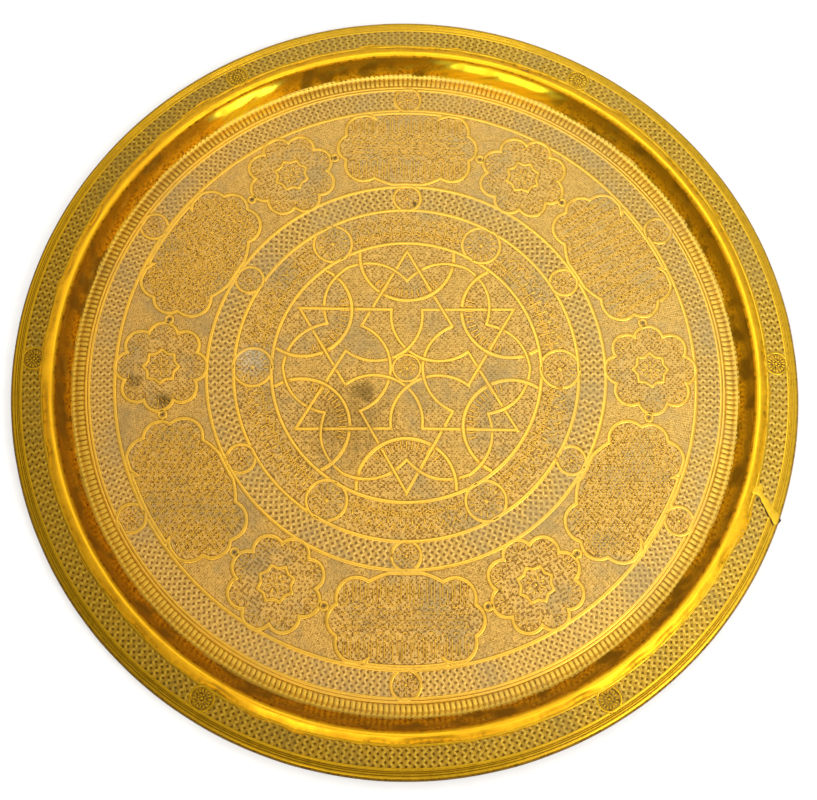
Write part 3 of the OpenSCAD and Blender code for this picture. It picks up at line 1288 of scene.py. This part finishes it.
@dataclass
class MedallionBand:
    """The broad band of six lobed rosettes and six cartouches."""

    inner: float = 156.3
    outer: float = 227.3
    at: float = 192.0
    cell: float = 1.62
    rosette_reach: float = 24.4
    rosette_lobe: float = 11.6
    heart: float = 12.6          # radius of the rosettes' inner ring
    fills: tuple[Fill, ...] = (Fill.COLUMNS, Fill.FRET, Fill.SCROLL, Fill.TRELLIS, Fill.FRET,
                               Fill.ROSETTES)

    def rosette(self) -> Path:
        """Draws a rosette's eight lobes about its own centre."""
        turns = [k * TURN / 8 for k in range(8)]
        lobes = [(*polar(self.rosette_reach, turn), self.rosette_lobe, turn) for turn in turns]
        return lobed_outline(lobes, 192)

    def cartouche(self) -> Path:
        """Draws a cartouche: a broad arc above and below, and three lobes at each end."""
        lobes = []
        for up, back, bow in ((1, -75.0, 110.0), (-1, 19.0, 54.0)):
            lobes += [(0, back, bow, up * TURN / 4)]
            for side in (1, -1):
                lobes += [(36.5 * side, 15.5 * up, 15.0, math.atan2(15.5 * up, 36.5 * side)),
                          (45.0 * side, 0, 12.8, math.atan2(0, side))]
        return lobed_outline(lobes, 320)

    def heart_star(self) -> Path:
        """Draws the eight-pointed ring in a rosette, its sides bowed inwards."""
        corners = [polar(self.heart * (0.88 if k % 2 else 1.1), k * TURN / 16) for k in range(17)]
        sides = [line(corners[k], corners[k + 1], 1.6) for k in range(16)]
        return chained(*sides)[:-1]

    def kept_in(self, path: Path, gap: float = 2.3) -> Path:
        """Lays an outline along the band's borders where it would cross them."""
        radius = np.hypot(path[:, 0], path[:, 1])
        return path * (np.clip(radius, self.inner + gap, self.outer - gap) / radius)[:, None]

    def spots(self, first: float) -> list[tuple[float, float, float]]:
        """Gives x, y and turn of six places, from the first's angle."""
        return [(*polar(self.at, first + SIXTH * k), first + SIXTH * k - math.pi / 2) for k in range(6)]

    def links(self) -> list[tuple[float, float]]:
        """Gives x and y of the small rings between neighbours."""
        span = math.radians(11.65)
        return [tuple(polar(self.at, SIXTH * k + side * span)) for k in range(6) for side in (1, -1)]

    def build(self) -> None:
        """Makes the punched band, the outlines and what fills them."""
        rosettes, cartouches = self.spots(0), self.spots(SIXTH / 2)
        outlines = [placed(self.rosette(), turn, (x, y)) for x, y, turn in rosettes]
        outlines += [self.kept_in(placed(self.cartouche(), turn, (x, y))) for x, y, turn in cartouches]

        def struck(co: np.ndarray) -> np.ndarray:
            """Punches harder inside the medallions than in the field."""
            share = np.full(len(co), 0.25)
            for outline in outlines:
                near = np.hypot(*(co[:, :2] - outline.mean(axis=0)).T) < 62
                share[np.flatnonzero(near)[inside(outline, co[near, :2])]] = 1.0
            return share

        ground = ring_grid("medallion_ground", self.inner, self.outer, self.cell)
        grimy = tuple((*spot, 1.7, 0.8, DIRT_AND_SHADOW) for spot in self.links())
        finish = replace(MATTED_GROUND, name="matted_medallion_ground_brass",
                         stains=MATTED_GROUND.stains + grimy)
        dress(matted(ground, self.cell, floor_ground, 31, PUNCH_DEPTH, struck), finish)
        straps = [Strap(path, 3.5, 0.5, closed=True) for path in outlines]
        heart = self.heart_star()
        straps += [Strap(placed(heart, turn, (x, y)), 2.9, 0.46, closed=True) for x, y, turn in rosettes]
        straps += [hoop(spot, 3.0, 2.4, 0.5, 1.0) for spot in self.links()]
        dress(strapwork("medallion_straps", straps), STRAP_BRASS)
        dress(stamped("rosette_chasing", self.rosette_places(rosettes)), STRAP_BRASS)
        for number, (fill, spot) in enumerate(zip(self.fills, cartouches)):
            places = self.fill_places(fill, spot)
            dress(stamped(f"cartouche_chasing_{number + 1}", places), STRAP_BRASS)

    def rosette_places(self, spots: Sequence[tuple[float, float, float]]) -> list[Place]:
        """Places fans of short strokes in the lobes and a flower in the heart."""
        stroke = Motif.bar(1.7, 0.95, 0.34)
        bead = Motif.bead(0.7, 0.3)
        flower = Motif.petal(5.6, 2.4, 0.4).ring(8, 2.4) + Motif.bead(1.4, 0.45, 8)
        lobe = Motif(np.zeros((0, 3)), [])
        for ring, count, spread in ((4.2, 3, 0.8), (8.2, 7, 0.52)):
            for i in range(count):
                turn = (i - (count - 1) / 2) * spread
                lobe = lobe + stroke.turned(turn, *polar(ring, turn))
        lobe = lobe + bead.turned(0, 0.6, 0) + bead.turned(0, -3.6, 1.6) + bead.turned(0, -3.6, -1.6)
        whole = lobe.ring(8, self.rosette_reach) + flower
        return [(whole, x, y, turn, 1.0) for x, y, turn in spots]

    def fill_places(self, fill: Fill, spot: tuple[float, float, float]) -> list[Place]:
        """Places the motifs of one cartouche.

        Args:
            fill: what fills it.
            spot: x, y and turn of the cartouche.

        Returns:
            The places, all clear of the cartouche's outline.
        """
        x, y, turn = spot
        local: list[Place] = []
        if fill is Fill.COLUMNS:
            ring = Motif.ribbon(arc((0, 0), 1.75, 0, TURN, 1.4)[:-1], 0.95, 0.36, closed=True)
            bar = Motif.bar(2.1, 0.85, 0.36)
            for i in range(-9, 10):
                for j in range(-8, 9):
                    motif = ring if i % 2 == 0 else bar
                    local.append((motif, i * 5.6, j * 4.3, math.pi / 2, 1.0))
        elif fill is Fill.FRET:
            heights = (13.5, 8.0, 11.0, 6.0, 13.5, 9.5)
            uprights = [Motif.ribbon(line((0, 0), (0, tall), 3.2), 1.15, 0.42) for tall in heights]
            bowl = Motif.ribbon(arc((0, 0), 2.0, math.pi, TURN, 1.3), 1.1, 0.4)
            leaf = Motif.petal(4.4, 1.9, 0.42).turned(math.pi / 2)
            bead = Motif.bead(0.75, 0.36)
            rule = Motif.bar(1.6, 0.8, 0.38)
            local += [(rule, i * 3.05, 0.0, 0.0, 1.0) for i in range(-14, 15)]
            for side in (1, -1):
                flip = 0 if side > 0 else math.pi
                for i in range(-15, 16):
                    px = i * 3.05 + 0.6 * math.sin(2.4 * i + side)
                    local.append((uprights[(i * 5 + side) % 6], px, side * 16.0, flip, 1.0))
                    local.append((leaf if i % 3 else bowl, px, side * (10.6 + i % 2 * 1.2), flip, 1.0))
                    local.append((bowl if i % 2 else bead, px + 0.8, side * 6.2, flip, 0.9))
                    local.append((bead, px, side * (2.6 + i % 2), flip, 1.0))
        elif fill is Fill.SCROLL:
            curve = Motif.ribbon(curl(2.9, 1.1, 10), 1.05, 0.38)
            leaf = Motif.petal(3.8, 1.7, 0.38)
            for i in range(-9, 10):
                for j in range(-6, 7):
                    px, py = i * 5.8 + (j % 2) * 2.9, j * 5.2
                    local.append((curve, px, py, (i * 2 + j * 3) * 1.1, 1.0))
                    local.append((leaf, px + 2.9, py + 0.8, (i + j) * 0.9, 0.9))
        elif fill is Fill.TRELLIS:
            bar = Motif.bar(3.0, 0.95, 0.36)
            bead = Motif.bead(0.75, 0.32)
            for i in range(-9, 10):
                for j in range(-6, 7):
                    px, py = i * 6.6 + (j % 2) * 3.3, j * 5.72
                    for k in range(3):
                        local.append((bar, px, py, k * math.pi / 3, 1.0))
                    local.append((bead, px + 3.3, py + 1.9, 0, 1.0))
        else:
            rosette = Motif.petal(2.6, 1.7, 0.44).ring(6, 1.0) + Motif.bead(0.95, 0.46)
            bead = Motif.bead(0.9, 0.36)
            for i in range(-7, 8):
                for j in range(-5, 6):
                    px, py = i * 7.4 + (j % 2) * 3.7, j * 6.4
                    local.append((rosette, px, py, 0, 1.0))
                    local.append((bead, px + 3.7, py, 0, 1.0))
        outline = self.cartouche() * 0.93
        kept = inside(outline, np.array([(px, py) for _, px, py, _, _ in local]))
        return [(motif, *placed(np.array([[px, py]]), turn, (x, y))[0], spin + turn, size)
                for (motif, px, py, spin, size), keep in zip(local, kept) if keep]


@dataclass
class Gadroons:
    """The ring of short rounded flutes at the foot of the wall."""

    inner: float = 250.5
    outer: float = 260.9
    repeats: int = 400
    rise: float = 0.6
    bed: float = 0.38            # how far the gaps between the flutes lie below the surface
    columns: int = 6
    rows: int = 9

    def build(self) -> None:
        """Models one flute, repeats it and wraps the row round the floor."""
        pitch = TURN * self.inner / self.repeats
        flute = flat_grid("gadroons", self.columns, self.rows)

        def swell(co: np.ndarray) -> np.ndarray:
            """Raises a flute that is round across, with a rounded outer end."""
            across = np.abs(2 * co[:, 0] - 1)
            along = co[:, 1]
            bead = np.sqrt(np.clip(1 - (np.abs(along - 0.3) / 0.31) ** 2.4, 0, 1))
            tail = 0.7 * np.sqrt(np.clip(1 - (np.abs(along - 0.76) / 0.25) ** 2, 0, 1))
            high = np.maximum(bead, tail)
            up = self.rise * high * np.sqrt(np.clip(1 - (across / (0.66 + 0.34 * high)) ** 2, 0, 1))
            return np.c_[co[:, 0] * pitch, along * (self.outer - self.inner), up]

        row = array_along(reshape(flute, swell), pitch, self.repeats)

        def lay(co: np.ndarray) -> np.ndarray:
            """Bends the row round the axis and lays it on the floor and the bend."""
            radius = self.inner + co[:, 1]
            return wrapped(radius, co[:, 0] / self.inner, SECTION.height(radius) - self.bed + co[:, 2]) * MM

        tidy_mesh(reshape(row, lay), weld=2e-6)
        dress(smooth(row, 60), GADROON_BRASS)


# ---------------------------------------------------------------- the wall, the ridge and the rim

def bend_points(centre: tuple[float, float], radius: float, start: float, end: float, count: int) -> list:
    """Gives (radius, height) points round a bend of the section, angles in degrees."""
    angles = np.radians(np.linspace(start, end, count))
    return [(centre[0] + radius * math.cos(a), centre[1] + radius * math.sin(a)) for a in angles]


def offset(profile: Sequence[tuple[float, float]], depth: float) -> list[tuple[float, float]]:
    """Moves a profile into the sheet, square to its surface."""
    line_points = np.array(profile)
    run = np.gradient(line_points, axis=0)
    run /= np.linalg.norm(run, axis=1)[:, None]
    moved = line_points + depth * np.c_[run[:, 1], -run[:, 0]]
    moved[:, 0] = np.maximum(moved[:, 0], 0)
    return [tuple(point) for point in moved]


def shell(profile: Sequence[tuple[float, float]], top: float, bottom: float) -> list[tuple[float, float]]:
    """Closes a profile into a thin section between two depths below it."""
    return offset(profile, top) + offset(profile, bottom)[::-1]


@dataclass
class WellWall:
    """The plain wall of the well, planished by hand."""

    foot_turn: float = -45.0     # where the piece starts on the foot's bend, in degrees
    slack: tuple[tuple[float, float], ...] = ((73.0, 10.5), (121.0, 6.5))   # bearing and half width
    shelf: tuple[float, float] = (0.66, 0.93)  # where the beaten shelf starts and ends up the wall

    def profile(self) -> list[tuple[float, float]]:
        """Gives the wall's top surface from the floor to the ridge."""
        bends = SECTION.bends()
        foot, top, low = bends["foot"], bends["wall_top"], bends["wall_foot"]
        steps = 16
        rise = [(low[0] + (top[0] - low[0]) * k / steps, low[1] + (top[1] - low[1]) * k / steps)
                for k in range(1, steps + 1)]
        bend = bend_points(foot, SECTION.foot_bend, self.foot_turn, -20, 5)
        tucked = [(bend[0][0] - 0.8, bend[0][1] - 1.1), (bend[0][0] - 0.3, bend[0][1] - 0.7)]
        return tucked + bend + rise

    def build(self) -> None:
        """Turns the wall and beats it uneven."""
        wall = turned("well_wall", shell(self.profile(), 0, FLOOR / 2))
        blows = Wobble(5, (9, 16, 23, 37, 52, 71, 95), 0.2)
        slow = Wobble(6, (2, 3, 5, 8), 0.2)
        patchy = Wobble(8, (31, 47, 73, 110), 0.45)
        low, high = SECTION.bends()["wall_foot"], SECTION.bends()["wall_top"]
        slack = np.zeros(len(wall.data.vertices))

        def beat(co: np.ndarray) -> np.ndarray:
            """Pushes the wall in and out along the radius."""
            angle, height = bearings(co)[1], co[:, 2] / MM
            share = np.clip((height - FLOOR) / 3, 0, 1) * np.clip((SECTION.crest - 1 - height) / 3, 0, 1)
            rise = np.clip((height - low[1]) / (high[1] - low[1]), 0, 1)
            slack[:] = sum(np.exp(-((np.degrees(angle) - at) / wide) ** 4) for at, wide in self.slack)
            slack[:] = np.clip(slack * (1.1 + patchy.at(angle, height * 0.6)), 0, 1)
            shelf = np.clip((rise - self.shelf[0]) / (self.shelf[1] - self.shelf[0]), 0, 1)
            shelf = 0.75 * shelf + 0.25 * shelf**2 * (3 - 2 * shelf)
            belly = slack * (high[0] - low[0]) * (shelf - rise)
            push = share * (blows.at(angle, height * 0.5) + slow.at(angle)) + belly
            return np.c_[pushed(co, push), co[:, 2]]

        # The slack also marks where the bright marked colour goes: painted highlights over the shelves,
        # partly buffed metal.
        dress(marked(reshape(wall, beat), slack), WALL_BRASS)


@dataclass
class Ridge:
    """The bright rounded ridge that was burnished by hand over the rim's weave."""

    lip: float = 2.0             # how far the burnished edge wanders, in millimetres
    shadow_side: float = math.radians(205)         # bearing of the side where the lip's painted shadow is darkest

    def profile(self) -> list[tuple[float, float]]:
        """Gives the ridge's top surface from the wall to the rim."""
        bends = SECTION.bends()
        crown = bend_points(bends["crown"], SECTION.crown_bend, 160, 70, 14)
        runout = bend_points(bends["runout"], SECTION.runout_bend, -110, -90, 5)
        end = bends["runout"][0]
        lip = [(end + 0.5, FLANGE + 0.32), (end + 0.9, FLANGE + 0.2), (end + 1.0, FLANGE - 0.3)]
        return crown + runout + lip

    def build(self) -> None:
        """Turns the ridge and lets its outer edge wander."""
        ridge = turned("burnished_ridge", shell(self.profile(), 0, FLOOR / 2))
        wander = Wobble(14, (5, 9, 14, 21, 33, 46, 71), self.lip)
        shadow_wander = Wobble(16, (3, 8, 13, 29, 44, 83), 0.6)
        dark_edge = np.zeros(len(ridge.data.vertices))
        dents = Wobble(15, (12, 19, 31, 47, 68), 0.1)
        start, lip_start = SECTION.bends()["crown"][0], self.profile()[-2][0] - 0.5

        def burnish(co: np.ndarray) -> np.ndarray:
            """Moves the outer slope along the radius, and dents the crown."""
            radius, angle = bearings(co / MM)
            share = np.clip((radius - start) / 4, 0, 1)
            push = share * wander.at(angle) + (1 - share) * dents.at(angle)
            # Painted shadow: a dark line on the lip's outer face, darkest on one side of the ring and
            # uneven along it.
            shadow_side = np.clip(0.55 + 0.45 * np.cos(angle - self.shadow_side) + shadow_wander.at(angle), 0, 1)
            dark_edge[:] = shadow_side * np.clip((radius - lip_start) / 0.4, 0, 1)
            dip = np.minimum(dents.at(angle, radius * 0.4) * 0.5, 0)
            return np.c_[pushed(co, push), co[:, 2] + dip * MM]

        dress(marked(reshape(ridge, burnish), dark_edge), RIDGE_BRASS)


@dataclass
class RolledEdge:
    """The plain border of the rim and the edge that is rolled under round the wire."""

    inner: float = 292.2
    grooves: tuple[float, ...] = (293.2, 294.3, 295.9)
    groove_depth: float = 0.28
    groove_width: float = 0.34
    sweep: float = 296.0         # how far the sheet goes round the wire, in degrees
    worn_from: float = 296.0     # radius where the dents of use start

    def build(self) -> None:
        """Turns the border with its fine lines and the whole roll."""
        radius, height = SECTION.roll
        outer, inner = SECTION.wire_radius + FLOOR, SECTION.wire_radius
        top = [(self.inner, FLANGE - 0.12), (self.inner + 0.25, FLANGE)]
        for groove in self.grooves:
            top += [(groove - self.groove_width, FLANGE), (groove, FLANGE - self.groove_depth),
                    (groove + self.groove_width, FLANGE)]
        roll = bend_points((radius, height), outer, 90, 90 - self.sweep, 30)
        back = bend_points((radius, height), inner, 90 - self.sweep, 90, 22)
        edge = turned("rolled_edge", top + roll + back + [(self.inner, FLANGE - FLOOR)])
        dents = Wobble(21, (7, 13, 22, 35, 58), 0.07)

        def knock(co: np.ndarray) -> np.ndarray:
            """Adds the small dents of long use, always inwards."""
            out, angle = bearings(co / MM)
            push = np.minimum(dents.at(angle) - 0.05, 0) * np.clip((out - self.worn_from) / 3, 0, 1)
            return np.c_[pushed(co, push), co[:, 2]]

        dress(reshape(edge, knock), EDGE_BRASS)


@dataclass
class Underside:
    """The tray's plain underside, which is what it stands on."""

    rings: tuple[float, ...] = (0.0, 30.0, 70.0, 110.0, 150.0, 190.0, 220.0, 245.0)

    def build(self) -> None:
        """Turns the lower half of the sheet."""
        floor = [(radius, FLOOR) for radius in self.rings]
        bends = SECTION.bends()
        foot = bend_points(bends["foot"], SECTION.foot_bend, -90, -20, 8)
        crown = bend_points(bends["crown"], SECTION.crown_bend, 160, 70, 10)
        runout = bend_points(bends["runout"], SECTION.runout_bend, -110, -90, 5)
        rim = [(284.0, FLANGE), (RolledEdge.inner + 0.4, FLANGE)]
        profile = floor + foot + crown + runout + rim
        section = offset(profile, FLOOR) + offset(profile, FLOOR * 0.55)[::-1]
        section = [(radius, max(height, 0.0)) for radius, height in section]
        dress(turned("underside", section), UNDERSIDE_BRASS)


@dataclass
class BrazeMend:
    """The braze that was run over the crack in the rim."""

    start: tuple[float, float] = (299.3, -24.3)       # radius and bearing in degrees at the edge
    end: tuple[float, float] = (275.2, -20.2)
    width: float = 6.6
    rise: float = 0.35

    def level(self, radius: np.ndarray) -> np.ndarray:
        """Gives the height of the rim and of the roll at each radius."""
        centre, height = SECTION.roll
        outer = SECTION.wire_radius + FLOOR
        past = np.clip(radius - centre, 0, outer * 0.98)
        return height + np.sqrt(outer**2 - past**2)

    def build(self) -> None:
        """Models the run of braze with uneven sides, and the tab where it meets the ridge."""
        first = polar(self.start[0], math.radians(self.start[1]))
        last = polar(self.end[0], math.radians(self.end[1]))
        run = (last - first) / np.linalg.norm(last - first)
        side = np.array([-run[1], run[0]])
        length = float(np.linalg.norm(last - first))
        columns, around = 36, 20
        bead = flat_grid("braze_bead", columns, around)
        uneven = Wobble(33, (2, 3, 5, 8), 0.45)
        dark_edge = np.zeros(len(bead.data.vertices))

        def pour(co: np.ndarray) -> np.ndarray:
            """Wraps the grid round the bead's outline at each place along it."""
            along, turn = co[:, 0], TURN * co[:, 1]
            neck = 1 - 0.4 * np.exp(-((along - 0.74) / 0.1) ** 2)
            flare = 1 + 1.3 * np.clip((along - 0.8) / 0.2, 0, 1) + 0.4 * np.clip(1 - along / 0.5, 0, 1)
            ends = np.clip(np.minimum(along / 0.03, (1.0 - along) / 0.06), 0.05, 1)
            half = (self.width * neck * flare + uneven.at(TURN * along, co[:, 1] * 3)) / 2 * ends
            across = np.cos(turn) * half
            round_up = np.sin(turn)
            up = np.where(round_up > 0, np.abs(round_up) ** 0.45 * self.rise * ends, round_up * 0.5)
            plan = first + run * (along * length)[:, None] + side * across[:, None]
            # Darkens one side of the bead, short of the tab at its ridge end.
            dark_edge[:] = np.clip((np.cos(turn) - 0.6) / 0.2, 0, 1) * np.clip((0.8 - along) / 0.1, 0, 1)
            return np.c_[plan, self.level(np.hypot(plan[:, 0], plan[:, 1])) + up] * MM

        tidy_mesh(marked(reshape(bead, pour), dark_edge), cap_sides=around)
        dress(smooth(bead, 60), BRAZE_BRASS, replaces="braze_repair")


@dataclass
class Wire:
    """The iron wire in the rolled edge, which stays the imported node."""

    def build(self) -> None:
        """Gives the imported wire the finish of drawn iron."""
        node = frame["nodes"]["rim_wire"]
        node.data.materials.clear()
        node.data.materials.append(DRAWN_IRON.material())
        LOG.info("rim_wire: packed node dressed")


# Mill-black iron with rust starting: it shows only at the mouth of the roll.
DRAWN_IRON = Brass("drawn_iron_wire", bright="6E675E", dull="5A534B", deep="2C2622", level=0, low=0.0,
                   middle=12.0, high=20.0, stipple=1.2, stipple_depth=0.02, haze="7A4A2A", haze_share=0.3,
                   rough_high=0.35, rough_low=0.5)


# ---------------------------------------------------------------- the studio

@dataclass
class Studio:
    """A white table under soft light, and the camera nearly straight above."""

    azimuth: float = math.radians(-3.1)
    elevation: float = math.radians(75.35)
    roll: float = math.radians(3.36)
    distance: float = 0.7048
    target: tuple[float, float] = (1.4, -26.0)
    focal: float = 40.0

    def table(self) -> None:
        """Makes the pale table top."""
        deselect()
        bpy.ops.mesh.primitive_plane_add(size=8)
        floor = fresh("table_top")
        # Matt lacquered board: an even white that takes soft shadows, with a speckle too faint to notice.
        graph = Graph("matt_white_table_top")
        speck = graph.add("TexNoise", Vector=graph.add("TexCoord", out="Object"), Scale=60.0)
        share = graph.add("MapRange", RANGE, i0=speck, i1=0.3, i2=0.7)
        tone = graph.add("Mix", MIX, 2, i0=share, i6=linear("F5F4F2"), i7=linear("F8F7F5"))
        shader = graph.add("BsdfPrincipled", Base_Color=tone, Roughness=0.75)
        graph.add("OutputMaterial", Surface=shader)
        floor.data.materials.append(graph.material)

    def light(self, name: str, place: tuple[float, float, float], size: float, power: float,
              colour: str = "FFFFFF") -> None:
        """Hangs one soft box that faces the tray."""
        lamp = bpy.data.lights.new(name, "AREA")
        lamp.shape = "DISK"
        lamp.size = size
        lamp.energy = power
        lamp.color = linear(colour)[:3]
        holder = bpy.data.objects.new(name, lamp)
        holder.location = place
        holder.rotation_euler = (-Vector(place)).to_track_quat("-Z", "Y").to_euler()
        bpy.context.scene.collection.objects.link(holder)

    def camera(self) -> None:
        """Sets the camera above the tray."""
        e, a = self.elevation, self.azimuth
        back = Vector((math.sin(a) * math.cos(e), -math.cos(a) * math.cos(e), math.sin(e)))
        level = Vector((math.cos(a), math.sin(a), 0))
        up = back.cross(level)
        right = level * math.cos(self.roll) + up * math.sin(self.roll)
        up = back.cross(right)
        eye = Vector((self.target[0] * MM, self.target[1] * MM, FLOOR * MM)) + back * self.distance
        data = bpy.data.cameras.new("camera")
        data.lens = self.focal
        data.clip_start = 0.01
        holder = bpy.data.objects.new("camera", data)
        holder.matrix_world = Matrix.Translation(eye) @ Matrix((right, up, back)).transposed().to_4x4()
        bpy.context.scene.collection.objects.link(holder)
        bpy.context.scene.camera = holder

    def build(self) -> None:
        """Sets the table, the light and the camera."""
        scene = bpy.context.scene
        scene.view_settings.view_transform = "Standard"
        world = bpy.data.worlds.new("soft_white_room")
        world.use_nodes = True
        world.node_tree.nodes["Background"].inputs["Color"].default_value = linear("F7F5F2")
        world.node_tree.nodes["Background"].inputs["Strength"].default_value = 0.82
        scene.world = world
        self.table()
        self.light("key", (0.9, -0.75, 1.5), 0.7, 11)
        self.light("fill", (-1.2, 0.8, 1.6), 1.4, 5)
        self.light("top", (0.1, 0.5, 2.2), 1.2, 8)
        self.light("window", (-0.45, -1.3, 1.9), 0.8, 9)
        self.camera()


def main() -> None:
    """Builds the tray zone by zone, and then the studio."""
    logging.basicConfig(level=logging.INFO, format="%(name)s: %(message)s")
    vine_knots = Roundels("vine_roundels", 0.0, 120.6, 15.4, 14)
    inner_knots = Roundels("inner_roundels", SIXTH / 2, 145.8, 11.0, 10)
    outer_knots = Roundels("outer_roundels", SIXTH / 2, 237.4, 10.8, 10)
    rim_knots = Roundels("rim_roundels", 0.0, 283.6, 8.5, 16, rim_ground, 1.9)
    StarPanel().build()
    VineRing(knots=vine_knots).build()
    WeaveBand("inner_weave", 135.2, 156.3, 164, 7, floor_ground, (inner_knots,)).build(WEAVE_BRASS)
    MedallionBand().build()
    WeaveBand("outer_weave", 227.3, 246.9, 292, 7, floor_ground, (outer_knots,)).build(WEAVE_BRASS)
    Borders(knots=(vine_knots, inner_knots, outer_knots)).build()
    for knots in (vine_knots, inner_knots, outer_knots):
        knots.build(STRAP_BRASS, MATTED_GROUND)
    Gadroons().build()
    WellWall().build()
    Ridge().build()
    WeaveBand("rim_weave", 274.4, 292.6, 324, 7, rim_ground, (rim_knots,)).build(RIM_WEAVE_BRASS)
    rim_knots.build(EDGE_BRASS, RIM_WEAVE_BRASS)
    rim_straps = [hoop((0, 0), radius, width, 0.42, 1.8) for radius, width in ((276.2, 2.3), (291.6, 2.0))]
    rim_straps += rim_knots.straps()
    interlace(rim_straps)
    dress(strapwork("rim_straps", rim_straps, rim_ground), EDGE_BRASS)
    RolledEdge().build()
    Underside().build()
    BrazeMend().build()
    Wire().build()
    Studio().build()


if __name__ == "__main__":
    main()
